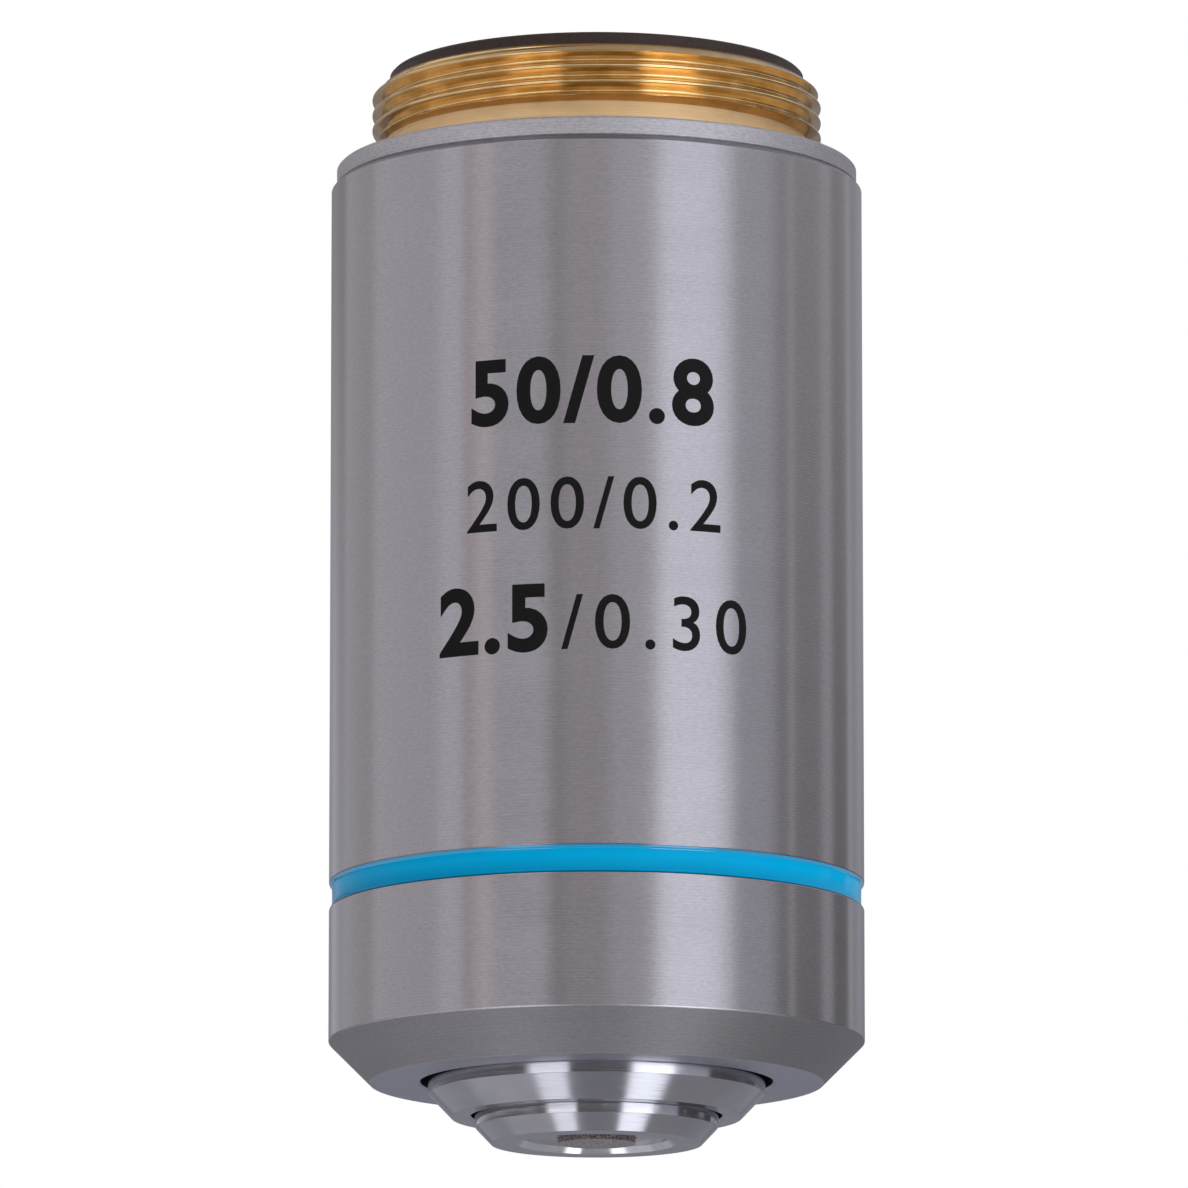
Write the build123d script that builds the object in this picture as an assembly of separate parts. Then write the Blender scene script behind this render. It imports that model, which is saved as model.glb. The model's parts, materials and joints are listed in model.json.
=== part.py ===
from build123d import *
import math
import os

# Spring-loaded microscope objective, in millimetres.
# The optical axis is Z. The shoulder's seat is at z = 0, the thread is above it and the nose points down.

# Standard interface
parfocal_distance = 45.0  # shoulder seat to specimen
working_distance = 0.6  # front face to specimen
thread_d = 20.32  # 0.8 inch, 36 turns to the inch, left plain at its crests
thread_depth = 0.56  # crest to relief neck
thread_end = 3.82  # shoulder seat to the mount's rear face
relief_length = 1.15
lead_length = 0.9
lead_depth = 0.76

# Radial build, from the lens cells outwards
cell_d = 13.2
nose_wall = 0.93
nose_gap = 0.32  # open ring round the nose where it leaves the barrel
neck_wall = 1.38
wire_d = 0.8
spring_gap = 0.3
mount_wall = 1.1
barrel_wall = 1.48

# Fits, as radial clearances
slip_gap = 0.02  # screwed or cemented pieces
guide_gap = 0.04  # sliding sleeve in its guide tube
pin_gap = 0.05  # guide pin in its slot

# Barrel and shoulder
shoulder_height = 0.9
shoulder_step = 0.25
barrel_rim_break = 0.2
edge_break = 0.1
front_chamfer = 1.86
barrel_floor = 1.5
band_offset = 7.78  # barrel's front face to the band
band_height = 1.2
band_groove = 0.3
band_dip = 0.13  # hollow of the enamel at mid height
band_inset = 0.02  # enamel edge below the barrel's surface

# Mount's inside and rear ring
rear_wall = 1.28
rear_bore_depth = 4.3
abutment_depth = 2.5  # shoulder seat to the spring's upper seat
abutment_width = 1.8
tube_end_gap = 0.4
seat_relief = 0.1  # guide tube's top below the shoulder's seat
stop_flange_height = 0.52
stop_flange_inset = 0.03
stop_shank = 2.3
stop_wall = 1.5
stop_mouth = 0.7
spanner_slot_width = 1.2
spanner_slot_depth = 0.35

# Sliding sleeve, its spring, pin and shim
travel = 2.5
spring_length = 11.5
spring_turns = 5
neck_clearance = 0.5  # neck to abutment with the nose fully up
land_length = 6.0
waist_depth = 0.2
pin_d = 1.6
pin_offset = 3.0  # spring seat to the pin
pin_seat = 1.9
pin_recess = 0.2
pin_end_gap = 0.3
shim_thickness = 0.2

# Nose steps
nose_step = 0.47
nose_cone = 1.06
sleeve_lip = 0.9
cell_seat = 1.0
front_gap = 0.15
front_step = 0.45
front_cone = 0.74

# Front lens and the recess round it
recess_d = 7.04
recess_depth = 0.28  # its wall slopes at 45 degrees
window_d = 3.48
window_inset = 0.02  # lens face behind the front face
front_lens_d = 5.2
front_lens_bevel = 1.1
front_lens_edge = 0.5
front_lens_sag = 1.4
front_cell_mouth = 1.5  # widening of the front cell's bore towards the rear

# Lens groups behind it: cell walls, edge thicknesses and sags
seat_width = 0.45
cell_margin = 0.15  # air between a lens and the end of its cell
meniscus_lip = 0.5
meniscus_wall = 2.4
meniscus_front_sag = 0.5
meniscus_edge = 1.0
meniscus_rear_sag = 1.7
first_doublet_wall = 1.8
first_front_sag = 1.1
first_crown_edge = 0.9
first_joint_sag = 1.3
first_flint_edge = 2.3
first_rear_sag = 0.2
second_doublet_wall = 1.8
second_front_sag = 0.9
second_crown_edge = 1.0
second_joint_sag = 1.2
second_flint_edge = 2.4
second_rear_hollow = 0.4
spacer_length = 4.0
spacer_wall = 1.0
aperture_wall = 3.2
aperture_thickness = 0.4
rear_doublet_wall = 2.2
rear_front_sag = 0.8
rear_crown_edge = 1.2
rear_joint_sag = 0.7
rear_flint_edge = 3.0
rear_hollow = 0.9
lock_ring_height = 2.0
lock_ring_wall = 2.0

# Radii that follow
thread_r = thread_d / 2
relief_r = thread_r - thread_depth
cell_r = cell_d / 2
sleeve_bore_r = cell_r + slip_gap
nose_r = sleeve_bore_r + nose_wall
nose_hole_r = nose_r + nose_gap
neck_r = sleeve_bore_r + neck_wall
spring_r = neck_r + spring_gap + wire_d / 2
guide_bore_r = neck_r + 2 * spring_gap + wire_d
land_r = guide_bore_r - guide_gap
mount_r = max(guide_bore_r + mount_wall, relief_r + slip_gap)  # guide tube, and never narrower than the neck
barrel_bore_r = mount_r + slip_gap
barrel_r = barrel_bore_r + barrel_wall
rear_bore_r = relief_r - rear_wall
lead_r = thread_r - lead_depth
cell_hole_r = cell_r - cell_seat
front_cell_r = cell_hole_r - front_gap

# Heights that follow, from the front face up
front_z = working_distance - parfocal_distance
front_step_z = front_z + front_cone
sleeve_face_z = front_step_z + front_step
nose_step_z = sleeve_face_z + nose_cone
barrel_face_z = nose_step_z + nose_step
floor_z = barrel_face_z + barrel_floor
stop_z = floor_z + shim_thickness
cell_seat_z = sleeve_face_z + sleeve_lip
band_low_z = barrel_face_z + band_offset
band_high_z = band_low_z + band_height

# Heights that follow, from the shoulder down
barrel_top_z = -shoulder_height
abutment_z = -abutment_depth
spring_seat_z = abutment_z - spring_length
neck_top_z = abutment_z - travel - neck_clearance
pin_z = spring_seat_z - pin_offset


def turned(*outline):
    """Piece turned about the optical axis from a closed outline of edges in (radius, height)."""
    return revolve(Plane.XZ * make_face(outline), Axis.Z)


def ring(*points):
    """Turned piece whose outline has straight sides only."""
    return turned(Polyline(*points, close=True))


def surface_z(rim_r, rim_z, sag, at):
    """Height of a spherical surface at a radius; a positive sag bulges to the rear."""
    sphere = (rim_r**2 + sag**2) / (2 * sag)
    return rim_z + sag - sphere + math.copysign(math.sqrt(sphere**2 - at**2), sphere)


def surface(rim_r, rim_z, sag):
    """Arc of a spherical surface from the axis to its rim."""
    middle = (rim_r / 2, surface_z(rim_r, rim_z, sag, rim_r / 2))
    return ThreePointArc((0, rim_z + sag), middle, (rim_r, rim_z))


def element(rim_r, front_z_rim, front_sag, rear_z_rim, rear_sag, front_clear=None, rear_clear=None):
    """Lens element; a surface with a clear radius ends there and leaves a flat annulus to the rim."""
    front_r = front_clear or rim_r
    rear_r = rear_clear or rim_r
    side = [(front_r, front_z_rim), (rim_r, front_z_rim), (rim_r, rear_z_rim), (rear_r, rear_z_rim)]
    corners = [p for i, p in enumerate(side) if i == 0 or p != side[i - 1]]
    return turned(
        surface(front_r, front_z_rim, front_sag),
        Polyline(*corners),
        surface(rear_r, rear_z_rim, rear_sag),
        Line((0, rear_z_rim + rear_sag), (0, front_z_rim + front_sag)),
    )


def cell(lens_r, bottom_z, seat_z, top_z):
    """Lens cell with a bored seat; the lens drops in from the rear."""
    bore_r = lens_r + slip_gap
    seat_r = lens_r - seat_width
    return ring(
        (seat_r, bottom_z),
        (cell_r, bottom_z),
        (cell_r, top_z),
        (bore_r, top_z),
        (bore_r, seat_z),
        (seat_r, seat_z),
    )


def doublet_group(wall, bottom_z, front_sag, crown_edge, joint_sag, flint_edge, rear_sag):
    """Cemented doublet in its cell, from the cell's bottom face up: cell, crown, flint and the top height."""
    rim_r = cell_r - wall
    front_rim_z = bottom_z + front_sag + cell_margin
    joint_z = front_rim_z + crown_edge
    rear_rim_z = joint_z + flint_edge
    top_z = rear_rim_z + max(rear_sag, 0) + cell_margin
    rear_clear = rim_r - seat_width if rear_sag < 0 else None
    seat_z = surface_z(rim_r, front_rim_z, -front_sag, rim_r - seat_width)
    crown = element(rim_r, front_rim_z, -front_sag, joint_z, joint_sag)
    flint = element(rim_r, joint_z, joint_sag, rear_rim_z, rear_sag, rear_clear=rear_clear)
    return cell(rim_r, bottom_z, seat_z, top_z), crown, flint, top_z


def spanner_slots(ring_r, top_z):
    """Cutter right across a ring, for the two slots that a spanner turns it by."""
    return Pos(0, 0, top_z) * Box(3 * ring_r, spanner_slot_width, 2 * spanner_slot_depth)


def make_threaded_mount():
    """Brass mount: thread, relief neck and guide tube in one turning, with the guide pin's slot."""
    abutment_r = guide_bore_r - abutment_width
    rear_floor_z = thread_end - rear_bore_depth
    tube_end_z = floor_z + tube_end_gap
    body = ring(
        (rear_bore_r, thread_end),
        (lead_r, thread_end),
        (thread_r, thread_end - lead_length),
        (thread_r, relief_length),
        (relief_r, relief_length),
        (relief_r, -seat_relief),
        (mount_r, -seat_relief),
        (mount_r, tube_end_z),
        (guide_bore_r, tube_end_z),
        (guide_bore_r, abutment_z),
        (abutment_r, abutment_z),
        (abutment_r, rear_floor_z),
        (rear_bore_r, rear_floor_z),
    )
    run = travel + 2 * pin_end_gap
    slot_plane = Plane(origin=(0, neck_r, pin_z + travel / 2), x_dir=(0, 0, 1), z_dir=(0, 1, 0))
    slot = slot_plane * SlotCenterToCenter(run, pin_d + 2 * pin_gap)
    return body - extrude(slot, mount_r)


def make_shoulder_ring():
    outer_r = barrel_r - shoulder_step
    return ring(
        (barrel_bore_r, barrel_top_z),
        (outer_r - edge_break, barrel_top_z),
        (outer_r, barrel_top_z + edge_break),
        (outer_r, -edge_break),
        (outer_r - edge_break, 0),
        (barrel_bore_r, 0),
    )


def make_outer_barrel():
    """Outer sleeve with the band's groove, the front chamfer and the floor that stops the nose."""
    groove_r = barrel_r - band_groove
    return ring(
        (barrel_bore_r, barrel_top_z),
        (barrel_bore_r, floor_z),
        (nose_hole_r, floor_z),
        (nose_hole_r, barrel_face_z + edge_break),
        (nose_hole_r + edge_break, barrel_face_z),
        (barrel_r - front_chamfer, barrel_face_z),
        (barrel_r, barrel_face_z + front_chamfer),
        (barrel_r, band_low_z),
        (groove_r, band_low_z),
        (groove_r, band_high_z),
        (barrel_r, band_high_z),
        (barrel_r, barrel_top_z - barrel_rim_break),
        (barrel_r - barrel_rim_break, barrel_top_z),
    )


def make_colour_band():
    """Enamel in the groove, drawn up to the groove's edges."""
    inner_r = barrel_r - band_groove
    edge_r = barrel_r - band_inset
    middle = (edge_r - band_dip, (band_low_z + band_high_z) / 2)
    return turned(
        Polyline((edge_r, band_high_z), (inner_r, band_high_z), (inner_r, band_low_z), (edge_r, band_low_z)),
        ThreePointArc((edge_r, band_low_z), middle, (edge_r, band_high_z)),
    )


def make_rear_stop_ring():
    """Black ring screwed into the mount's rear, turned by two spanner slots."""
    shank_r = rear_bore_r - slip_gap
    flange_r = lead_r - stop_flange_inset
    bore_r = shank_r - stop_wall
    top_z = thread_end + stop_flange_height
    body = ring(
        (bore_r, thread_end - stop_shank),
        (shank_r, thread_end - stop_shank),
        (shank_r, thread_end),
        (flange_r, thread_end),
        (flange_r, top_z - edge_break),
        (flange_r - edge_break, top_z),
        (bore_r + stop_mouth, top_z),
        (bore_r, top_z - stop_mouth),
    )
    return body - spanner_slots(flange_r, top_z)


def make_return_spring():
    """Compression spring with both ends ground flat."""
    pitch = spring_length / spring_turns
    path = Pos(0, 0, spring_seat_z) * Helix(pitch, spring_length, spring_r)
    section = Plane(origin=path @ 0, z_dir=path % 0) * Circle(wire_d / 2)
    room = Pos(0, 0, (spring_seat_z + abutment_z) / 2) * Cylinder(guide_bore_r, spring_length)
    return sweep(section, path=path, is_frenet=True) & room


def make_parfocal_shim():
    return ring((nose_hole_r, floor_z), (land_r, floor_z), (land_r, stop_z), (nose_hole_r, stop_z))


def make_lens_sleeve():
    """Sliding sleeve: nose step, stop face, two guide lands, spring seat and neck, bored for the cells."""
    waist_r = land_r - waist_depth
    body = ring(
        (cell_hole_r, cell_seat_z),
        (cell_hole_r, sleeve_face_z + edge_break),
        (cell_hole_r + edge_break, sleeve_face_z),
        (nose_r - nose_cone, sleeve_face_z),
        (nose_r, nose_step_z),
        (nose_r, stop_z),
        (land_r, stop_z),
        (land_r, stop_z + land_length),
        (waist_r, stop_z + land_length + waist_depth),
        (waist_r, spring_seat_z - land_length - waist_depth),
        (land_r, spring_seat_z - land_length),
        (land_r, spring_seat_z),
        (neck_r, spring_seat_z),
        (neck_r, neck_top_z),
        (sleeve_bore_r, neck_top_z),
        (sleeve_bore_r, cell_seat_z),
    )
    return body - pin_blank(pin_d / 2, land_r + pin_seat)


def pin_blank(radius, outer_r):
    """Cylinder square to the axis, from the pin's seat in the sleeve out to a radius."""
    inner_r = land_r - pin_seat
    middle_r = (inner_r + outer_r) / 2
    return Pos(0, middle_r, pin_z) * Rot(90, 0, 0) * Cylinder(radius, outer_r - inner_r)


def make_guide_pin():
    return pin_blank(pin_d / 2, mount_r - pin_recess)


def make_front_group():
    """Front cell with its recess, the front lens bedded in its taper, and the cell's top height."""
    window_r = window_d / 2
    lens_r = front_lens_d / 2
    recess_r = recess_d / 2
    window_z = front_z + window_inset
    recess_z = front_z + recess_depth
    bevel_z = recess_z + front_lens_bevel
    edge_z = bevel_z + front_lens_edge
    top_z = edge_z + front_lens_sag + cell_margin
    front = ring(
        (window_r, recess_z),
        (recess_r - recess_depth, recess_z),
        (recess_r, front_z),
        (front_cell_r - front_cone, front_z),
        (front_cell_r, front_step_z),
        (front_cell_r, cell_seat_z),
        (cell_r, cell_seat_z),
        (cell_r, top_z),
        (lens_r + front_cell_mouth, top_z),
        (lens_r, edge_z),
        (lens_r, bevel_z),
    )
    lens = turned(
        Polyline(
            (0, edge_z + front_lens_sag),
            (0, window_z),
            (window_r, window_z),
            (window_r, recess_z),
            (lens_r, bevel_z),
            (lens_r, edge_z),
        ),
        surface(lens_r, edge_z, front_lens_sag),
    )
    return front, lens, top_z


def make_meniscus_group(bottom_z):
    """Meniscus in its cell, and the cell's top height."""
    rim_r = cell_r - meniscus_wall
    seat_z = bottom_z + meniscus_lip
    rear_z = seat_z + meniscus_edge
    top_z = rear_z + meniscus_rear_sag + cell_margin
    lens = element(
        rim_r, seat_z, meniscus_front_sag, rear_z, meniscus_rear_sag, front_clear=rim_r - seat_width
    )
    return cell(rim_r, bottom_z, seat_z, top_z), lens, top_z


def make_lock_ring(bottom_z):
    inner_r = cell_r - lock_ring_wall
    top_z = bottom_z + lock_ring_height
    body = ring((inner_r, bottom_z), (cell_r, bottom_z), (cell_r, top_z), (inner_r, top_z))
    return body - spanner_slots(cell_r, top_z)


def washer(outer_r, inner_r, bottom_z, height):
    """Plain turned ring."""
    top_z = bottom_z + height
    return ring((inner_r, bottom_z), (outer_r, bottom_z), (outer_r, top_z), (inner_r, top_z))


# Lens stack, each cell standing on the one below it
front_cell, front_lens, stack_z = make_front_group()
meniscus_cell, meniscus_lens, stack_z = make_meniscus_group(stack_z)
first_cell, first_crown, first_flint, stack_z = doublet_group(
    first_doublet_wall,
    stack_z,
    first_front_sag,
    first_crown_edge,
    first_joint_sag,
    first_flint_edge,
    first_rear_sag,
)
second_cell, second_crown, second_flint, stack_z = doublet_group(
    second_doublet_wall,
    stack_z,
    second_front_sag,
    second_crown_edge,
    second_joint_sag,
    second_flint_edge,
    -second_rear_hollow,
)
spacer = washer(cell_r, cell_r - spacer_wall, stack_z, spacer_length)
stack_z += spacer_length
aperture = washer(cell_r, cell_r - aperture_wall, stack_z, aperture_thickness)
stack_z += aperture_thickness
rear_cell, rear_crown, rear_flint, stack_z = doublet_group(
    rear_doublet_wall,
    stack_z,
    rear_front_sag,
    rear_crown_edge,
    rear_joint_sag,
    rear_flint_edge,
    -rear_hollow,
)

nodes = {
    "threaded_mount": make_threaded_mount(),
    "shoulder_ring": make_shoulder_ring(),
    "outer_barrel": make_outer_barrel(),
    "colour_band": make_colour_band(),
    "rear_stop_ring": make_rear_stop_ring(),
    "return_spring": make_return_spring(),
    "parfocal_shim": make_parfocal_shim(),
    "lens_sleeve": make_lens_sleeve(),
    "guide_pin": make_guide_pin(),
    "front_cell": front_cell,
    "front_lens": front_lens,
    "meniscus_cell": meniscus_cell,
    "meniscus_lens": meniscus_lens,
    "first_doublet_cell": first_cell,
    "first_doublet_crown": first_crown,
    "first_doublet_flint": first_flint,
    "second_doublet_cell": second_cell,
    "second_doublet_crown": second_crown,
    "second_doublet_flint": second_flint,
    "spacer_tube": spacer,
    "aperture_stop": aperture,
    "rear_doublet_cell": rear_cell,
    "rear_doublet_crown": rear_crown,
    "rear_doublet_flint": rear_flint,
    "lens_lock_ring": make_lock_ring(stack_z),
}

os.makedirs("parts", exist_ok=True)
for name, piece in nodes.items():
    export_step(piece, f"parts/{name}.step")
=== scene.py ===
"""Looks of the microscope objective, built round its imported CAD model."""

import json
import math

import bmesh
import bpy
from mathutils import Matrix, Vector


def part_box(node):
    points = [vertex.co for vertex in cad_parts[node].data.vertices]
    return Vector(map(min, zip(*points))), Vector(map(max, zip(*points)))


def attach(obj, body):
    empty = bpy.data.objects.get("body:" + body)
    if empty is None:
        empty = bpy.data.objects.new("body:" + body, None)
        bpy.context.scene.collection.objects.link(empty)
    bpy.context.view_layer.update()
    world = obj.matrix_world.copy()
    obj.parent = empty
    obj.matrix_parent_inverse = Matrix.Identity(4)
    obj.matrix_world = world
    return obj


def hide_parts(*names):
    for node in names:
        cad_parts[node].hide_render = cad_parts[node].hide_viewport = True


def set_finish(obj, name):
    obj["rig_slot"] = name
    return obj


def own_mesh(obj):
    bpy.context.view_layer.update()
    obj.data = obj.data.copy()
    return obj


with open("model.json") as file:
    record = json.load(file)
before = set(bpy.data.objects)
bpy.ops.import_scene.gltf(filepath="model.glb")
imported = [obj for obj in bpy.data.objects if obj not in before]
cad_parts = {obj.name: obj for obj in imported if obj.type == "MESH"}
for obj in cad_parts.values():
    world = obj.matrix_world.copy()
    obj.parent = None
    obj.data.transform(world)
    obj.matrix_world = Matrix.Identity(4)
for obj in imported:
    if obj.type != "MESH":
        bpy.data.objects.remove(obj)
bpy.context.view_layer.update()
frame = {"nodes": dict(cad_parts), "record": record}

MM = 0.001


def size_of(node):
    """Outer radius, lowest and highest height of a CAD node, in millimetres."""
    low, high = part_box(node)
    return high.x / MM, low.z / MM, high.z / MM


# Sizes read from the frame, in millimetres
barrel_r, barrel_face_z, barrel_top_z = size_of("outer_barrel")
shoulder_r, _, seat_z = size_of("shoulder_ring")
band_r, band_low_z, band_high_z = size_of("colour_band")
_, _, thread_end_z = size_of("threaded_mount")
_, sleeve_face_z, _ = size_of("lens_sleeve")
cell_r, front_z, cell_top_z = size_of("front_cell")
lens_r, _, _ = size_of("front_lens")
_, floor_z, _ = size_of("parfocal_shim")
spring_outer_r, spring_low_z, spring_high_z = size_of("return_spring")

# Sizes that the boxes don't give, in millimetres
thread_r = 10.16
thread_pitch = 25.4 / 36
relief_r = 9.6
relief_top_z = 1.15
lead_r = 9.5
lead_length = 0.5
root_drop = 0.02
foot_slope = 2.5
neck_row = 0.03
rear_bore_r = 8.32
mount_cut_z = -0.05
barrel_bore_r = 10.52
nose_hole_r = 7.87
front_chamfer = 1.86
rim_break = 0.2
edge_break = 0.1
edge_round = 0.05
fine_round = 0.04
band_round = 0.03
chamfer_round = 0.14
band_groove = 0.3
band_sag = 0.03
band_lip = 0.2
band_lip_rise = 0.1
nose_r = 7.55
nose_cone = 1.06
nose_draft = 0.05
nose_cut_z = -41.0
sleeve_bore_r = 6.62
sleeve_lip = 0.9
cell_hole_r = 5.6
front_cell_r = 5.45
front_cone = 0.74
front_draft = 0.04
recess_r = 3.52
recess_depth = 0.28
window_r = 1.74
front_lens_bevel = 1.1
front_lens_edge = 0.5
front_cell_mouth = 1.5
spring_turns = 5
wire_d = 0.8
ink = 0.006

# Mesh fineness
TURN = 320
CORNER = 4
CORNER_SHARE = 0.4
SMOOTH_TURN = 0.3
THREAD_ROWS = 36
BAND_HALF_STEPS = 24
SPRING_STEPS = 80
WIRE_SIDES = 12
FIGURE_STEPS = 6
NUMBER_STRIP = 0.2
WELD = 1e-7

# Angles above which an edge is sharp, in degrees
CAD_SHARP = 30
SPRING_SHARP = 40
THREAD_SHARP = 50

# Least share of a face's level slope that points at the axis on a turned surface
TURNED_SHARE = 0.97


def rounded(outline, radius):
    """Closed outline with rounded corners, as pairs of place and outward normal.

    A corner is a radius and a height, and may have a rounding of its own after them.
    """
    following = outline[1:] + outline[:1]
    if sum(a[0] * b[1] - b[0] * a[1] for a, b in zip(outline, following)) < 0:
        outline = outline[::-1]
    points = []
    for i, corner in enumerate(outline):
        here = Vector(corner[:2])
        back = here - Vector(outline[i - 1][:2])
        ahead = Vector(outline[(i + 1) % len(outline)][:2]) - here
        into = back.normalized()
        out = ahead.normalized()
        turn = math.atan2(into.x * out.y - into.y * out.x, into.dot(out))
        normal = Vector((into.y, -into.x))
        if abs(turn) < SMOOTH_TURN:
            points.append((here, (normal + Vector((out.y, -out.x))).normalized()))
            continue
        slope = math.tan(abs(turn) / 2)
        own = corner[2] if len(corner) > 2 else radius
        reach = min(own * slope, CORNER_SHARE * back.length, CORNER_SHARE * ahead.length)
        size = math.copysign(reach / slope, turn)
        centre = here - into * reach - normal * size
        for k in range(CORNER + 1):
            spun = Matrix.Rotation(turn * k / CORNER, 2) @ normal
            points.append((centre + spun * size, spun))
    return points


def new_piece(name, mesh, body, slot, *nodes):
    """Object that rides on a body, takes a material slot and stands for CAD nodes."""
    piece = bpy.data.objects.new(name, mesh)
    bpy.context.scene.collection.objects.link(piece)
    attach(piece, body)
    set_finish(piece, slot)
    if nodes:
        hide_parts(*nodes)
    return piece


def ring_faces(count):
    """Quads between neighbouring copies of a closed section of count points."""
    faces = []
    for j in range(TURN):
        here = j * count
        there = (j + 1) % TURN * count
        for i in range(count):
            k = (i + 1) % count
            faces.append((here + i, there + i, there + k, here + k))
    return faces


def shade_smooth(mesh):
    mesh.polygons.foreach_set("use_smooth", [True] * len(mesh.polygons))


def all_of(bm):
    return bm.verts[:] + bm.edges[:] + bm.faces[:]


def smooth_mesh(name, bm):
    """Smooth mesh from a working one, which is freed."""
    mesh = bpy.data.meshes.new(name)
    bm.to_mesh(mesh)
    bm.free()
    shade_smooth(mesh)
    return mesh


def turned(name, outline, edge, body, slot, *nodes):
    """Turned piece from a (radius, height) outline in millimetres, with its edges rounded."""
    points = rounded(outline, edge)
    places = []
    normals = []
    for j in range(TURN):
        angle = math.tau * j / TURN
        c = math.cos(angle)
        s = math.sin(angle)
        places += [(p.x * c * MM, p.x * s * MM, p.y * MM) for p, n in points]
        normals += [(n.x * c, n.x * s, n.y) for p, n in points]
    mesh = bpy.data.meshes.new(name)
    mesh.from_pydata(places, [], ring_faces(len(points)))
    shade_smooth(mesh)
    mesh.normals_split_custom_set_from_vertices(normals)
    return new_piece(name, mesh, body, slot, *nodes)


def turned_normals(mesh):
    """Exact normals on the faces that lie on surfaces turned round the axis."""
    normals = []
    for f in mesh.polygons:
        outward = Vector((f.center.x, f.center.y, 0)).normalized()
        level = Vector((f.normal.x, f.normal.y, 0))
        share = level.dot(outward)
        is_turned = abs(share) > TURNED_SHARE * level.length
        for k in f.vertices:
            here = mesh.vertices[k].co
            radial = Vector((here.x, here.y, 0)).normalized() * math.copysign(level.length, share)
            normals.append(radial + Vector((0, 0, f.normal.z)) if is_turned else f.normal)
    mesh.normals_split_custom_set(normals)


def cad_part(name, node, cut_z, keep_above, body, slot):
    """The part of a CAD node above or below a height, capped at the cut."""
    bm = bmesh.new()
    bm.from_mesh(frame["nodes"][node].data)
    bmesh.ops.remove_doubles(bm, verts=bm.verts, dist=WELD)
    bmesh.ops.bisect_plane(
        bm,
        geom=all_of(bm),
        plane_co=(0, 0, cut_z * MM),
        plane_no=(0, 0, 1),
        clear_inner=keep_above,
        clear_outer=not keep_above,
    )
    rim = [e for e in bm.edges if e.is_boundary]
    bmesh.ops.bridge_loops(bm, edges=rim)
    bmesh.ops.recalc_face_normals(bm, faces=bm.faces)
    mesh = smooth_mesh(name, bm)
    turned_normals(mesh)
    return new_piece(name, mesh, body, slot, node)


# Thread of the mount, its form in pitches
flank = math.radians(27.5)
round_r = 0.1373
round_half = round_r * math.cos(flank)


def crest_drop(away):
    """Depth below the crest, in pitches, up to a quarter pitch from it.

    The crest is round, and the flank is that of a 55 degree thread.
    """
    if away < round_half:
        return round_r - math.sqrt(round_r**2 - away**2)
    return round_r * (1 - math.sin(flank)) + (away - round_half) / math.tan(flank)


def thread_depth(phase):
    """Depth below the crest in pitches, the root being as round as the crest."""
    away = min(phase, 1 - phase)
    if away <= 0.25:
        return crest_drop(away)
    return 2 * crest_drop(0.25) - crest_drop(0.5 - away)


def thread_radius(angle, z):
    """Outer radius of the threaded end: a right-hand thread with a tapered lead and a cut-off foot."""
    if z <= relief_top_z:
        return relief_r
    lead = thread_r - (thread_r - lead_r) * max(0, z - thread_end_z + lead_length) / lead_length
    foot = relief_r + foot_slope * (z - relief_top_z)
    crest = thread_r - thread_pitch * thread_depth((z / thread_pitch - angle / math.tau) % 1)
    return max(lead_r - root_drop, min(lead, foot, crest))


def threaded_end():
    """Relief neck and thread of the mount, with the bore behind them."""
    step = thread_pitch / THREAD_ROWS
    rows = math.ceil((thread_end_z - relief_top_z) / step)
    heights = [mount_cut_z, relief_top_z - neck_row]
    heights += [relief_top_z + (thread_end_z - relief_top_z) * k / rows for k in range(rows + 1)]
    places = []
    for j in range(TURN):
        angle = math.tau * j / TURN
        column = [(thread_radius(angle, z), z) for z in heights]
        column += [(rear_bore_r, thread_end_z), (rear_bore_r, mount_cut_z)]
        c = math.cos(angle) * MM
        s = math.sin(angle) * MM
        places += [(r * c, r * s, z * MM) for r, z in column]
    mesh = bpy.data.meshes.new("mount_thread")
    mesh.from_pydata(places, [], ring_faces(len(heights) + 2))
    shade_smooth(mesh)
    mesh.set_sharp_from_angle(angle=math.radians(THREAD_SHARP))
    return new_piece("mount_thread", mesh, "barrel", "brass", "threaded_mount")


mount_thread = threaded_end()
mount_tube = cad_part("mount_tube", "threaded_mount", mount_cut_z, False, "barrel", "brass")

shoulder = turned(
    "shoulder",
    [
        (barrel_bore_r, barrel_top_z),
        (shoulder_r - edge_break, barrel_top_z),
        (shoulder_r, barrel_top_z + edge_break),
        (shoulder_r, seat_z - edge_break),
        (shoulder_r - edge_break, seat_z),
        (barrel_bore_r, seat_z),
    ],
    fine_round,
    "barrel",
    "satin_chrome",
    "shoulder_ring",
)

skin_r = barrel_r - 2 * ink
barrel = turned(
    "barrel",
    [
        (barrel_bore_r, barrel_top_z),
        (barrel_bore_r, floor_z),
        (nose_hole_r, floor_z),
        (nose_hole_r, barrel_face_z + edge_break),
        (nose_hole_r + edge_break, barrel_face_z),
        (barrel_r - front_chamfer, barrel_face_z),
        (skin_r, barrel_face_z + front_chamfer - 2 * ink, chamfer_round),
        (skin_r, band_low_z),
        (barrel_r - band_groove, band_low_z),
        (barrel_r - band_groove, band_high_z),
        (skin_r, band_high_z),
        (skin_r, barrel_top_z - rim_break),
        (skin_r - rim_break, barrel_top_z),
    ],
    edge_round,
    "barrel",
    "satin_chrome",
    "outer_barrel",
)

band_middle_z = (band_low_z + band_high_z) / 2
band_half = (band_high_z - band_low_z) / 2
band_steps = [k / BAND_HALF_STEPS - 1 for k in range(2 * BAND_HALF_STEPS + 1)]


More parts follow.
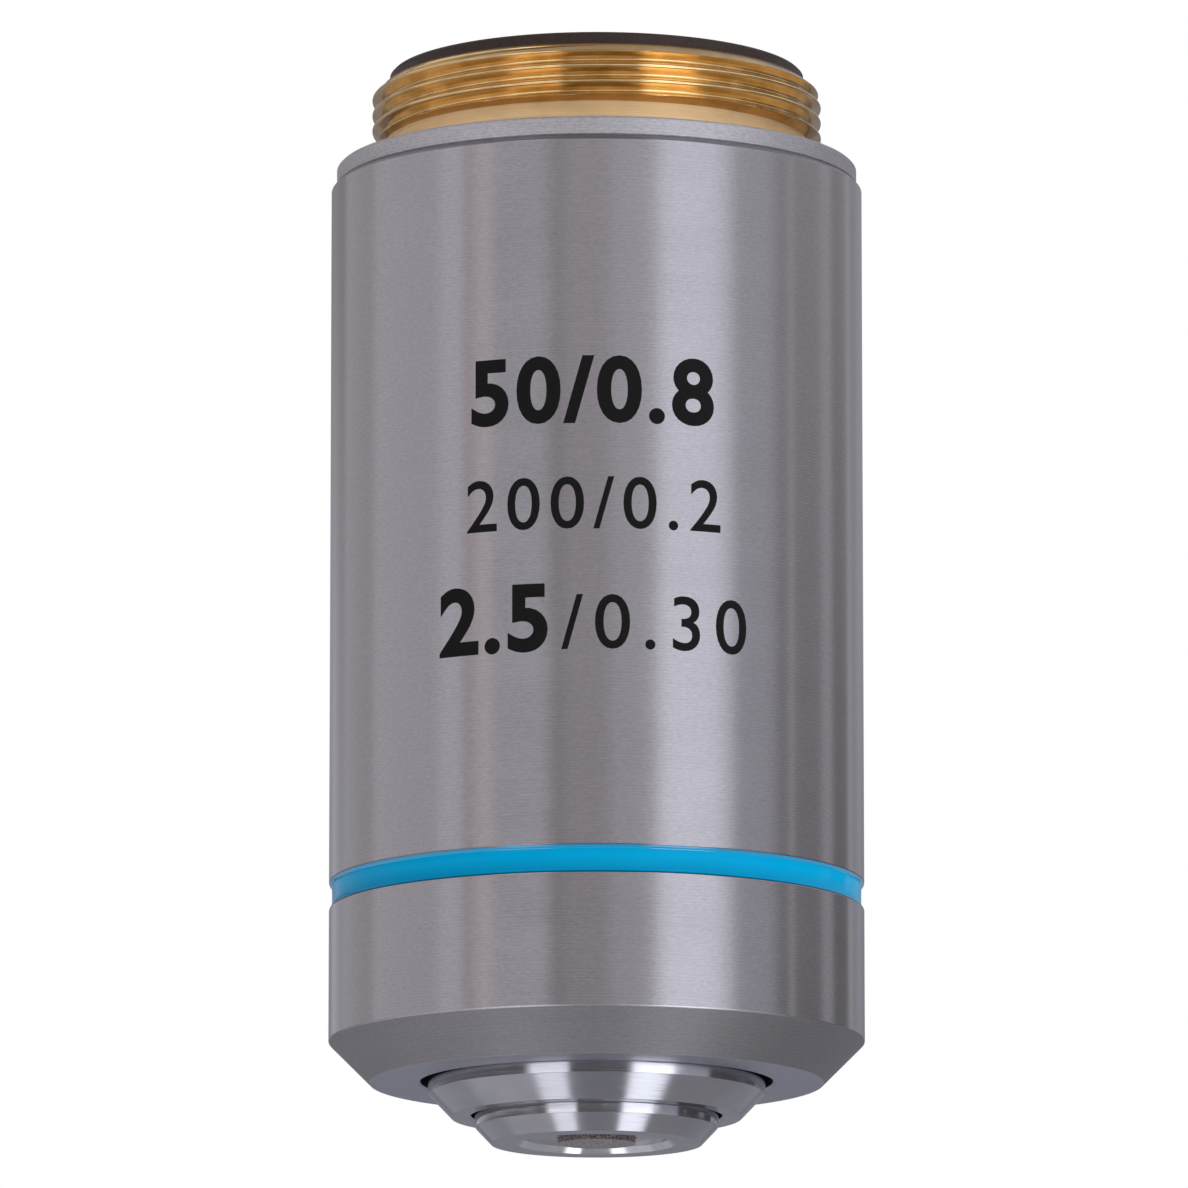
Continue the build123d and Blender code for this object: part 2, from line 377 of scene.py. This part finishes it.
def band_radius(t):
    """Slightly hollow enamel with a sloping lip along each edge.

    The place t runs from -1 at the foot to 1 at the top.
    """
    into_lip = max(0, 1 - band_half * (1 - abs(t)) / band_lip)
    return band_r - band_sag * (1 - t * t) - band_lip_rise * (1 - into_lip**2)


band = turned(
    "band",
    [(barrel_r - band_groove, band_high_z), (barrel_r - band_groove, band_low_z)]
    + [(band_radius(t), band_middle_z + band_half * t) for t in band_steps],
    band_round,
    "barrel",
    "blue_enamel",
    "colour_band",
)

cell_seat_z = sleeve_face_z + sleeve_lip
nose = turned(
    "nose",
    [
        (cell_hole_r, cell_seat_z),
        (cell_hole_r, sleeve_face_z + edge_break),
        (cell_hole_r + edge_break, sleeve_face_z),
        (nose_r - nose_cone, sleeve_face_z),
        (nose_r - nose_draft, sleeve_face_z + nose_cone),
        (nose_r, barrel_face_z),
        (nose_r, nose_cut_z),
        (sleeve_bore_r, nose_cut_z),
        (sleeve_bore_r, cell_seat_z),
    ],
    edge_round,
    "lens_group",
    "nose_chrome",
    "lens_sleeve",
)
sleeve = cad_part("sleeve", "lens_sleeve", nose_cut_z, True, "lens_group", "nose_chrome")

recess_z = front_z + recess_depth
bevel_z = recess_z + front_lens_bevel
tip = turned(
    "tip",
    [
        (window_r, recess_z),
        (recess_r - recess_depth, recess_z),
        (recess_r, front_z),
        (front_cell_r - front_cone, front_z),
        (front_cell_r - front_draft, front_z + front_cone),
        (front_cell_r, sleeve_face_z),
        (front_cell_r, cell_seat_z),
        (cell_r, cell_seat_z),
        (cell_r, cell_top_z),
        (lens_r + front_cell_mouth, cell_top_z),
        (lens_r, bevel_z + front_lens_edge),
        (lens_r, bevel_z),
    ],
    fine_round,
    "lens_group",
    "nose_chrome",
    "front_cell",
)


def spring_mesh():
    """Round wire on a helix, flattened at its two end planes."""
    along = SPRING_STEPS * spring_turns
    wire_r = wire_d / 2
    mid_r = spring_outer_r - wire_r
    height = spring_high_z - spring_low_z
    places = []
    for j in range(along + 1):
        angle = math.tau * spring_turns * j / along
        z = spring_low_z + height * j / along
        for k in range(WIRE_SIDES):
            around = math.tau * k / WIRE_SIDES
            r = mid_r + wire_r * math.cos(around)
            tall = z + wire_r * math.sin(around)
            tall = min(max(tall, spring_low_z), spring_high_z)
            places.append((r * math.cos(angle) * MM, r * math.sin(angle) * MM, tall * MM))
    faces = []
    for j in range(along):
        a = j * WIRE_SIDES
        b = a + WIRE_SIDES
        for k in range(WIRE_SIDES):
            n = (k + 1) % WIRE_SIDES
            faces.append((a + k, b + k, b + n, a + n))
    faces.append(tuple(range(WIRE_SIDES)))
    faces.append(tuple(reversed(range(along * WIRE_SIDES, (along + 1) * WIRE_SIDES))))
    mesh = bpy.data.meshes.new("spring")
    mesh.from_pydata(places, [], faces)
    shade_smooth(mesh)
    mesh.set_sharp_from_angle(angle=math.radians(SPRING_SHARP))
    return mesh


spring = new_piece("spring", spring_mesh(), "barrel", "spring_steel", "return_spring")
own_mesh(spring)


# Materials
QUARTER_TURN = 0.25
ONE_WAVE_PER_UNIT = math.pi / 10


class Nodes:
    """Node tree with short ways to add nodes and join them."""

    def add(self, kind, **settings):
        node = self.tree.nodes.new(kind)
        for key, value in settings.items():
            setattr(node, key, value)
        return node

    def link(self, source, target):
        if isinstance(source, (int, float)):
            target.default_value = source
        else:
            self.tree.links.new(source, target)

    def math(self, operation, a, b):
        node = self.add("ShaderNodeMath", operation=operation)
        self.link(a, node.inputs[0])
        self.link(b, node.inputs[1])
        return node.outputs[0]


class Look(Nodes):
    """Node material with a Principled shader and helpers for procedural detail."""

    def __init__(self, name, colour, metallic=0.0, roughness=0.5, **sockets):
        self.material = bpy.data.materials.new(name)
        self.material.use_nodes = True
        self.tree = self.material.node_tree
        self.shader = self.tree.nodes["Principled BSDF"]
        self.shader.inputs["Base Color"].default_value = (*colour, 1)
        self.shader.inputs["Metallic"].default_value = metallic
        self.shader.inputs["Roughness"].default_value = roughness
        for socket, value in sockets.items():
            self.shader.inputs[socket.replace("_", " ")].default_value = value
        self.colour = colour
        self.place = self.add("ShaderNodeTexCoord").outputs["Object"]

    def noise(self, round_mm, height_mm, detail=2.0):
        """Noise whose marks are about that wide round the axis and that high along it."""
        mapping = self.add("ShaderNodeMapping")
        across = 1 / (round_mm * MM)
        mapping.inputs["Scale"].default_value = (across, across, 1 / (height_mm * MM))
        self.link(self.place, mapping.inputs["Vector"])
        texture = self.add("ShaderNodeTexNoise")
        texture.inputs["Scale"].default_value = 1.0
        texture.inputs["Detail"].default_value = detail
        self.link(mapping.outputs["Vector"], texture.inputs["Vector"])
        return texture.outputs["Fac"]

    def feed_lines(self, pitch_mm):
        """Regular turning marks along the axis."""
        mapping = self.add("ShaderNodeMapping")
        mapping.inputs["Scale"].default_value = (0, 0, 1 / (pitch_mm * MM))
        self.link(self.place, mapping.inputs["Vector"])
        wave = self.add("ShaderNodeTexWave", bands_direction="Z")
        wave.inputs["Scale"].default_value = ONE_WAVE_PER_UNIT
        wave.inputs["Distortion"].default_value = 0.0
        self.link(mapping.outputs["Vector"], wave.inputs["Vector"])
        return wave.outputs["Fac"]

    def between(self, value, low, high, low_in=0.3, high_in=0.7):
        """Value spread over a range, from the middle part of a noise."""
        node = self.add("ShaderNodeMapRange")
        self.link(value, node.inputs["Value"])
        node.inputs["From Min"].default_value = low_in
        node.inputs["From Max"].default_value = high_in
        node.inputs["To Min"].default_value = low
        node.inputs["To Max"].default_value = high
        return node.outputs["Result"]

    def tint(self, value, dark, light, low_in=0.3, high_in=0.7):
        """Base colour that runs from dark to light times the written one."""
        ramp = self.add("ShaderNodeMix", data_type="RGBA")
        self.link(self.between(value, 0, 1, low_in, high_in), ramp.inputs["Factor"])
        ramp.inputs["A"].default_value = (*[c * d for c, d in zip(self.colour, dark)], 1)
        ramp.inputs["B"].default_value = (*[c * d for c, d in zip(self.colour, light)], 1)
        self.link(ramp.outputs["Result"], self.shader.inputs["Base Color"])

    def rough(self, value, low, high):
        self.link(self.between(value, low, high), self.shader.inputs["Roughness"])

    def bump(self, height, depth_mm):
        node = self.add("ShaderNodeBump")
        node.inputs["Strength"].default_value = 1.0
        node.inputs["Distance"].default_value = depth_mm * MM
        self.link(height, node.inputs["Height"])
        self.link(node.outputs["Normal"], self.shader.inputs["Normal"])

    def grain(self, amount):
        """Brushed reflection, drawn out along the axis across the turning marks."""
        tangent = self.add("ShaderNodeTangent", direction_type="RADIAL", axis="Z")
        self.shader.inputs["Anisotropic"].default_value = amount
        self.shader.inputs["Anisotropic Rotation"].default_value = QUARTER_TURN
        self.link(tangent.outputs["Tangent"], self.shader.inputs["Tangent"])


def satin_chrome(name, colour, roughness, grain, contrast=0.09):
    """Fine-turned chrome with faint feed marks."""
    look = Look(name, colour, metallic=1.0, roughness=roughness)
    streaks = look.noise(9, 0.07, 3)
    broad = look.noise(5, 2.2, 3)
    dashes = look.noise(0.22, 0.07, 2)
    lines = look.feed_lines(0.14)
    faint_streaks = look.math("MULTIPLY", streaks, 0.25)
    faint_lines = look.math("MULTIPLY", lines, 0.12)
    turning = look.math("ADD", faint_streaks, faint_lines)
    patches = look.math("MULTIPLY", broad, 0.4)
    marks = look.math("ADD", look.math("ADD", turning, patches), dashes)
    look.tint(marks, [1 - contrast] * 3, [1 + contrast] * 3, 0.58, 1.18)
    look.rough(broad, roughness - 0.01, roughness + 0.01)
    look.bump(look.math("ADD", look.math("MULTIPLY", lines, 0.8), dashes), 0.0003)
    look.grain(grain)
    return look.material


def nose_chrome():
    look = Look("nose_chrome", (0.42, 0.42, 0.45), metallic=1.0, roughness=0.14)
    streaks = look.noise(1.2, 0.06, 3)
    broad = look.noise(3, 1.5, 2)
    look.tint(broad, (0.92, 0.92, 0.93), (1.06, 1.06, 1.07))
    look.rough(streaks, 0.11, 0.18)
    look.bump(streaks, 0.0009)
    look.grain(0.6)
    return look.material


def polished_chrome():
    look = Look("polished_chrome", (0.68, 0.68, 0.71), metallic=1.0, roughness=0.08)
    scuffs = look.noise(0.6, 0.6, 3)
    look.tint(scuffs, (0.9, 0.9, 0.91), (1.04, 1.04, 1.04))
    look.rough(scuffs, 0.05, 0.13)
    return look.material


def brass(name, colour, roughness, tarnish, grain=0.7):
    """Turned brass, darker where it has tarnished."""
    look = Look(name, colour, metallic=1.0, roughness=roughness)
    streaks = look.noise(8, 0.05, 3)
    patches = look.noise(1.6, 0.7, 4)
    dark = (1 - tarnish, 1 - 1.2 * tarnish, 1 - 1.6 * tarnish)
    look.tint(patches, dark, (1.05, 1.05, 1.05), 0.3, 0.55)
    look.rough(streaks, 0.8 * roughness, 1.2 * roughness)
    look.bump(streaks, 0.0005)
    look.grain(grain)
    return look.material


def blue_enamel(name, colour, **sockets):
    """Glossy enamel with painted shade, darker towards the foot of the band."""
    look = Look(name, colour, roughness=0.1, **sockets)
    broad = look.noise(2.5, 0.6, 2)
    height = look.add("ShaderNodeSeparateXYZ")
    look.link(look.place, height.inputs[0])
    # Painted shade: over the lowest part of the band the base colour falls to about two thirds, with a
    # little random tone mixed in.
    shade_low_z = band_low_z + 0.05
    shade_high_z = band_low_z + 0.75
    rise = look.between(height.outputs["Z"], 0, 1, shade_low_z * MM, shade_high_z * MM)
    shade = look.math("ADD", rise, look.math("MULTIPLY", broad, 0.2))
    look.tint(shade, (1.0, 0.68, 0.7), (1.0, 1.03, 1.02), 0.1, 1.1)
    look.rough(broad, 0.08, 0.16)
    look.bump(look.noise(1.2, 0.5, 2), 0.002)
    return look.material


def black_finish():
    look = Look("black_finish", (0.03, 0.0175, 0.015), roughness=0.55, Specular_IOR_Level=0.25)
    specks = look.noise(0.12, 0.12, 4)
    look.tint(specks, (0.75, 0.75, 0.75), (1.3, 1.3, 1.3))
    look.rough(look.noise(2, 0.1, 3), 0.42, 0.58)
    look.bump(specks, 0.004)
    return look.material


def spring_steel():
    look = Look("spring_steel", (0.36, 0.36, 0.37), metallic=1.0, roughness=0.3)
    drawn = look.noise(0.15, 0.15, 3)
    look.tint(drawn, (0.85, 0.85, 0.86), (1.08, 1.08, 1.08))
    look.rough(drawn, 0.24, 0.36)
    look.bump(drawn, 0.002)
    return look.material


def glass(name, colour, ior):
    look = Look(name, colour, roughness=0.02, Transmission_Weight=1.0, IOR=ior, Coat_Weight=0.4)
    look.shader.inputs["Coat Tint"].default_value = (0.75, 0.85, 1.0, 1)
    dust = look.noise(0.25, 0.25, 5)
    look.rough(dust, 0.0, 0.1)
    return look.material


def ground_glass():
    """Ground glass of the front lens, with fine grain whose light specks are painted sparkle."""
    look = Look("ground_glass", (0.24, 0.19, 0.19), roughness=0.25, Transmission_Weight=0.25, IOR=1.52)
    grain_and_sparkle = look.noise(0.05, 0.05, 3)
    # The light end of this tint is painted sparkle on the grain; the dark end is the grain's own tone.
    look.tint(grain_and_sparkle, (0.25, 0.2, 0.18), (2.2, 2.3, 2.5), 0.42, 0.68)
    look.rough(look.noise(0.1, 0.1, 2), 0.12, 0.4)
    look.bump(grain_and_sparkle, 0.006)
    return look.material


def ink_black():
    look = Look("ink_black", (0.006, 0.0055, 0.006), roughness=0.6, Specular_IOR_Level=0.1)
    grain = look.noise(0.2, 0.2, 3)
    look.tint(grain, (0.7, 0.7, 0.7), (1.3, 1.3, 1.3))
    look.rough(grain, 0.5, 0.7)
    look.bump(grain, 0.002)
    return look.material


finishes = {
    "satin_chrome": satin_chrome("satin_chrome", (0.31, 0.3, 0.32), 0.23, 0.8),
    "nose_chrome": nose_chrome(),
    "brass": brass("brass", (0.69, 0.48, 0.23), 0.17, 0.2),
    "blue_enamel": blue_enamel("blue_enamel", (0.0, 0.355, 0.68), Specular_IOR_Level=0.04),
    "black_finish": black_finish(),
    "spring_steel": spring_steel(),
    "crown_glass": glass("crown_glass", (0.95, 0.98, 0.98), 1.52),
    "flint_glass": glass("flint_glass", (0.98, 0.97, 0.92), 1.62),
}


def wear(piece, finish):
    piece.data.materials.clear()
    piece.data.materials.append(finish)


for piece in (mount_thread, mount_tube, shoulder, barrel, band, nose, sleeve, tip, spring):
    wear(piece, finishes[piece["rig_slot"]])
for part in frame["record"]["subparts"]:
    node = frame["nodes"][part["node"]]
    wear(node, finishes[part["material_slot"]])
    shade_smooth(node.data)
    node.data.set_sharp_from_angle(angle=math.radians(CAD_SHARP))


def refinish(piece, finish, wanted):
    """Second finish on the faces whose radius and height in millimetres pass a test."""
    piece.data.materials.append(finish)
    index = len(piece.data.materials) - 1
    for f in piece.data.polygons:
        middle = f.center / MM
        if wanted(math.hypot(middle.x, middle.y), middle.z):
            f.material_index = index


# Where the second finishes and the painted light and shade end, in millimetres
chamfer_top_z = barrel_face_z + front_chamfer
corner_low_z = chamfer_top_z - 0.04
corner_high_z = chamfer_top_z + 0.06
corner_low_r = skin_r - 0.2
hole_rim_r = nose_hole_r + 0.2
face_top_z = barrel_face_z + 0.06
lip_low_z = band_high_z - 0.8 * band_lip
foot_top_z = band_low_z + 0.06
wall_low_r = recess_r - recess_depth - 0.04
wall_high_r = recess_r + 0.02
wall_top_z = recess_z + 0.02

refinish(
    barrel,
    satin_chrome("chamfer_chrome", (0.285, 0.278, 0.29), 0.45, 0.0, 0.12),
    lambda r, z: r > hole_rim_r and z < corner_low_z,
)
# Painted reflection: a lighter, bluer chrome on the downward front face, standing for the light it
# reflects from below; it is also rougher.
refinish(
    barrel,
    satin_chrome("face_chrome_painted_reflection", (0.46, 0.465, 0.52), 0.4, 0.0),
    lambda r, z: z < face_top_z,
)
# Painted highlight: a lighter chrome along the rounded corner above the chamfer, for a bright line on
# the rim.
refinish(
    barrel,
    satin_chrome("rim_chrome_painted_highlight", (0.46, 0.45, 0.47), 0.3, 0.0),
    lambda r, z: r > corner_low_r and corner_low_z < z < corner_high_z,
)
refinish(
    band,
    blue_enamel(
        "enamel_lip",
        (0.0, 0.34, 0.66),
        Specular_IOR_Level=0.04,
        Coat_Weight=1.0,
        Coat_IOR=1.75,
    ),
    lambda r, z: z > lip_low_z,
)
# Painted shadow: a much darker blue along the foot of the band, standing for the shadow in the groove.
refinish(
    band,
    blue_enamel("enamel_foot_painted_shadow", (0.0, 0.14, 0.28), Specular_IOR_Level=0.04),
    lambda r, z: z < foot_top_z,
)
refinish(
    mount_thread,
    brass("neck_brass", (0.72, 0.52, 0.29), 0.6, 0.06, 0.0),
    lambda r, z: z < relief_top_z,
)
refinish(
    tip,
    polished_chrome(),
    lambda r, z: wall_low_r < r < wall_high_r and z < wall_top_z,
)
wear(frame["nodes"]["front_lens"], ground_glass())
wear(shoulder, satin_chrome("shoulder_chrome", (0.46, 0.45, 0.475), 0.6, 0.3, 0.18))


# Numbers on the barrel
BOLD = 0.03
LIGHT = 0.006
ink_r = skin_r + ink


def flat_text(text, weight, spacing=1.0):
    """Flat mesh of plain figures in the font's own units."""
    curve = bpy.data.curves.new("figures", "FONT")
    curve.body = text
    curve.offset = weight
    curve.space_character = spacing
    curve.resolution_u = FIGURE_STEPS
    holder = bpy.data.objects.new("figures", curve)
    bpy.context.scene.collection.objects.link(holder)
    bpy.context.view_layer.update()
    mesh = bpy.data.meshes.new_from_object(holder)
    bpy.data.objects.remove(holder)
    bpy.data.curves.remove(curve)
    return mesh


def spread(mesh, axis):
    """Lowest and highest coordinate of a mesh along an axis."""
    places = [v.co[axis] for v in mesh.vertices]
    return min(places), max(places)


nought = flat_text("0", 0.0)
NOUGHT_LOW, NOUGHT_HIGH = spread(nought, 1)
bpy.data.meshes.remove(nought)


def print_numbers(name, figures, middle, base_z):
    """Figures of several weights on one line, wrapped on the front of the barrel as thin ink.

    Each of the figures has a text, a height, a weight, a gap before it and a spacing.
    """
    bm = bmesh.new()
    edge = 0.0
    for text, height, weight, gap, spacing in figures:
        mesh = flat_text(text, weight, spacing)
        mesh.transform(Matrix.Translation((0, -NOUGHT_LOW, 0)))
        mesh.transform(Matrix.Scale(height / (NOUGHT_HIGH - NOUGHT_LOW), 4))
        left, right = spread(mesh, 0)
        mesh.transform(Matrix.Translation((edge + gap - left, 0, 0)))
        bm.from_mesh(mesh)
        bpy.data.meshes.remove(mesh)
        edge += gap + right - left
    cuts = math.ceil(edge / NUMBER_STRIP)
    for k in range(1, cuts):
        cut = (edge * k / cuts, 0, 0)
        bmesh.ops.bisect_plane(bm, geom=all_of(bm), plane_co=cut, plane_no=(1, 0, 0))
    for v in bm.verts:
        angle = (v.co.x - edge / 2 + middle) / ink_r
        v.co = Vector((ink_r * math.sin(angle), -ink_r * math.cos(angle), base_z + v.co.y)) * MM
    bmesh.ops.recalc_face_normals(bm, faces=bm.faces)
    for f in bm.faces:
        f.normal_update()
        if f.normal.y > 0:
            f.normal_flip()
    piece = new_piece(name, smooth_mesh(name, bm), "barrel", "black_finish")
    wear(piece, ink_black())


print_numbers("figures_top", [("50/0.8", 2.8, BOLD, 0, 1.12)], -0.2, -13.8)
print_numbers("figures_middle", [("200/0.2", 2.3, LIGHT, 0, 1.2)], -0.15, -18.63)
low_line = [("2.5", 2.85, BOLD, 0, 1.1), ("/0.30", 2.4, LIGHT, 0.6, 1.26)]
print_numbers("figures_low", low_line, -0.2, -24.0)


# Studio
scene = bpy.context.scene
scene.view_settings.view_transform = "Standard"

CAMERA_PLACE = (-0.118 * MM, -524.18 * MM, -112.08 * MM)
CAMERA_TILT = math.radians(100.02)
CAMERA_LENS = 358.52
SENSOR_WIDTH = 36.0
CLIP_START = 0.01
FLOOR_Z = -0.65
FLOOR_REACH = 6.0

camera_data = bpy.data.cameras.new("camera")
camera_data.lens = CAMERA_LENS
camera_data.sensor_width = SENSOR_WIDTH
camera_data.clip_start = CLIP_START
camera = bpy.data.objects.new("camera", camera_data)
camera.location = CAMERA_PLACE
camera.rotation_euler = (CAMERA_TILT, 0, 0)
scene.collection.objects.link(camera)
scene.camera = camera


def make_floor():
    """Wide pale floor, far enough below to stay out of the front picture."""
    mesh = bpy.data.meshes.new("floor")
    corners = [(-1, -1, 0), (1, -1, 0), (1, 1, 0), (-1, 1, 0)]
    mesh.from_pydata([Vector(c) * FLOOR_REACH for c in corners], [], [(0, 1, 2, 3)])
    floor = bpy.data.objects.new("floor", mesh)
    floor.location.z = FLOOR_Z
    scene.collection.objects.link(floor)
    look = Look("floor", (0.82, 0.82, 0.82), roughness=0.9)
    look.tint(look.noise(300, 300, 2), (0.985, 0.985, 0.985), (1.015, 1.015, 1.015))
    mesh.materials.append(look.material)
    floor.visible_glossy = False


make_floor()


class Sky(Nodes):
    """World built from soft cards, each a range of azimuth and elevation in degrees."""

    WALL_TOP = 35
    WALL_SPLIT = 10
    WALL_FOOT = -20
    WALL_FADE = 1.5
    STRIP_EDGE = (-35, -50)
    STRIP_REACH = (-0.04, 0.3)
    STRIP_FADE = 0.05
    SOFT_ASIDE = 0.66
    SOFT_AHEAD = 0.68
    SOFT_LIFT = 0.3
    SOFT_LEVEL = 0.58
    SOFT_LEAST = 0.28

    def __init__(self, level):
        self.world = bpy.data.worlds.new("studio")
        self.world.use_nodes = True
        self.tree = self.world.node_tree
        place = self.add("ShaderNodeTexCoord").outputs["Generated"]
        parts = self.add("ShaderNodeSeparateXYZ")
        self.link(place, parts.inputs[0])
        self.sideways = parts.outputs["X"]
        self.upward = parts.outputs["Z"]
        self.toward = self.math("MULTIPLY", parts.outputs["Y"], -1.0)
        around = self.math("ARCTAN2", self.sideways, self.toward)
        rise = self.math("ARCSINE", self.upward, 0.0)
        self.azimuth = self.math("MULTIPLY", around, math.degrees(1))
        self.elevation = self.math("MULTIPLY", rise, math.degrees(1))
        colour = self.add("ShaderNodeRGB")
        colour.outputs[0].default_value = (level, level, level, 1)
        self.colour = colour.outputs[0]

    def step(self, value, low, high):
        """Soft step from 0 at low to 1 at high."""
        node = self.add("ShaderNodeMapRange", interpolation_type="SMOOTHSTEP")
        self.link(value, node.inputs["Value"])
        node.inputs["From Min"].default_value = low
        node.inputs["From Max"].default_value = high
        return node.outputs["Result"]

    def within(self, value, low, high, blur):
        rise = self.step(value, low - blur, low + blur)
        fall = self.step(value, high + blur, high - blur)
        return self.math("MULTIPLY", rise, fall)

    def lay(self, mask, colour):
        """One tone over what is there so far."""
        mix = self.add("ShaderNodeMix", data_type="RGBA")
        self.link(mask, mix.inputs["Factor"])
        self.link(self.colour, mix.inputs["A"])
        mix.inputs["B"].default_value = (*colour, 1)
        self.colour = mix.outputs["Result"]

    def card(self, azimuths, elevations, colour, blur=3.0, fade=4.0):
        across = self.within(self.azimuth, *azimuths, blur)
        upright = self.within(self.elevation, *elevations, fade)
        self.lay(self.math("MULTIPLY", across, upright), colour)

    def wall(self, azimuths, above, below, blur=3.0):
        """Tall card of one tone above the split and another below it."""
        self.card(azimuths, (self.WALL_SPLIT, self.WALL_TOP), above, blur, self.WALL_FADE)
        self.card(azimuths, (self.WALL_FOOT, self.WALL_SPLIT), below, blur, self.WALL_FADE)

    def strip_below(self, sides, colour, blur=0.03):
        """Short strip under the object."""
        under = self.step(self.elevation, *self.STRIP_EDGE)
        near = self.within(self.toward, *self.STRIP_REACH, self.STRIP_FADE)
        across = self.within(self.sideways, *sides, blur)
        self.lay(self.math("MULTIPLY", across, self.math("MULTIPLY", under, near)), colour)

    def finish(self):
        """Cards for reflections, plain soft light for matt surfaces and a white background."""
        path = self.add("ShaderNodeLightPath")
        aside = self.math("MULTIPLY", self.sideways, self.SOFT_ASIDE)
        ahead = self.math("MULTIPLY", self.toward, self.SOFT_AHEAD)
        lift = self.math("MULTIPLY", self.upward, self.SOFT_LIFT)
        raised = self.math("ADD", lift, self.SOFT_LEVEL)
        level = self.math("ADD", self.math("ADD", aside, ahead), raised)
        soft = self.math("MAXIMUM", level, self.SOFT_LEAST)
        mix = self.add("ShaderNodeMix", data_type="RGBA")
        self.link(path.outputs["Is Glossy Ray"], mix.inputs["Factor"])
        self.link(soft, mix.inputs["A"])
        self.link(self.colour, mix.inputs["B"])
        self.colour = mix.outputs["Result"]
        seen = self.math("MAXIMUM", path.outputs["Is Camera Ray"], path.outputs["Is Transmission Ray"])
        self.lay(seen, (1, 1, 1))
        shader = self.tree.nodes["Background"]
        self.link(self.colour, shader.inputs["Color"])
        shader.inputs["Strength"].default_value = 1.0
        self.world.cycles.sampling_method = "NONE"
        scene.world = self.world


sky = Sky(1.0)

# Below and overhead
sky.card((-190, 190), (-95, -14), (0.33, 0.33, 0.36), fade=8)
sky.card((-150, -35), (-75, -14), (0.58, 0.575, 0.61), blur=10, fade=8)
sky.card((35, 130), (-75, -14), (0.38, 0.375, 0.39), blur=15, fade=8)
sky.card((-190, 190), (35, 62), (0.5, 0.49, 0.5))
sky.card((-190, 190), (60, 95), (0.3, 0.26, 0.22), fade=5)
# Walls, from behind on the left round to behind on the right
sky.wall((-190, -140), (0.3, 0.28, 0.28), (0.7, 0.7, 0.77))
sky.wall((-140, -112), (0.71, 0.69, 0.71), (0.84, 0.82, 0.85))
sky.wall((-112, -57), (0.91, 0.89, 0.92), (1.24, 1.21, 1.25))
sky.wall((-72, -58), (1.08, 1.06, 1.11), (1.65, 1.6, 1.67))
sky.wall((-59, -55), (0.84, 0.74, 0.71), (0.9, 0.75, 0.71), 1.5)
sky.wall((-55, -46), (1.06, 1.0, 1.01), (1.52, 1.38, 1.36))
sky.wall((-46, -26), (0.88, 0.86, 0.9), (0.18, 0.17, 0.18))
sky.wall((-27, -12), (0.88, 0.84, 0.87), (0.14, 0.12, 0.12), 5)
sky.wall((-13, 6), (1.12, 1.06, 1.09), (0.42, 0.39, 0.39), 4)
sky.wall((8, 26), (1.2, 1.18, 1.23), (0.72, 0.7, 0.74), 4)
sky.wall((28, 60), (1.25, 1.27, 1.38), (1.5, 1.54, 1.65))
sky.wall((62, 84), (1.08, 1.06, 1.11), (0.4, 0.41, 0.46))
sky.wall((83, 114), (0.92, 0.9, 0.93), (0.05, 0.045, 0.05))
sky.wall((115, 121), (0.82, 0.8, 0.84), (0.66, 0.65, 0.69), 1)
sky.wall((122, 139), (0.66, 0.64, 0.66), (0.08, 0.08, 0.09), 2)
sky.wall((142, 190), (0.42, 0.42, 0.46), (0.44, 0.44, 0.5), 4)
# Narrow line on the right, and lower cards at the sides and behind
sky.card((91, 94), (3, 12), (1.0, 0.97, 1.0), 1, 1.5)
sky.card((-165, -48), (-14, 4), (0.15, 0.148, 0.156), 3, 1.5)
sky.card((56, 84), (-12, 1), (0.62, 0.63, 0.68), 3, 1.5)
sky.card((84, 165), (-20, 4), (0.12, 0.12, 0.13), 3, 1.5)
sky.card((128, 190), (-45, -8), (0.36, 0.365, 0.4))
sky.card((-190, -128), (-45, -8), (0.42, 0.425, 0.46))
sky.card((160, 190), (-45, 10), (0.26, 0.265, 0.3))
sky.card((-190, -160), (-45, 10), (0.26, 0.265, 0.3))
# Bright and dark cards in front, high and low
sky.card((-24, 28), (40, 66), (0.28, 0.26, 0.24))
sky.card((-58, -24), (38, 65), (2.0, 1.98, 2.0), 3, 2)
sky.card((30, 64), (38, 65), (3.0, 3.0, 3.1), 3, 2)
sky.card((-47, -19), (-36, -18), (1.9, 1.93, 2.0), 2, 3)
sky.card((25, 54), (-36, -18), (2.8, 2.85, 3.0), 2, 3)
sky.card((-46, -19), (-10, 2), (1.9, 1.93, 2.0), 2, 1)
sky.card((-17, 22), (-10, 2), (0.14, 0.14, 0.15), 2, 1)
sky.card((25, 54), (-10, 2), (2.6, 2.65, 2.8), 2, 1)
# Bright strips under the object
sky.strip_below((0.23, 0.48), (2.1, 2.14, 2.25))
sky.strip_below((-0.41, -0.21), (1.6, 1.62, 1.7))
sky.finish()
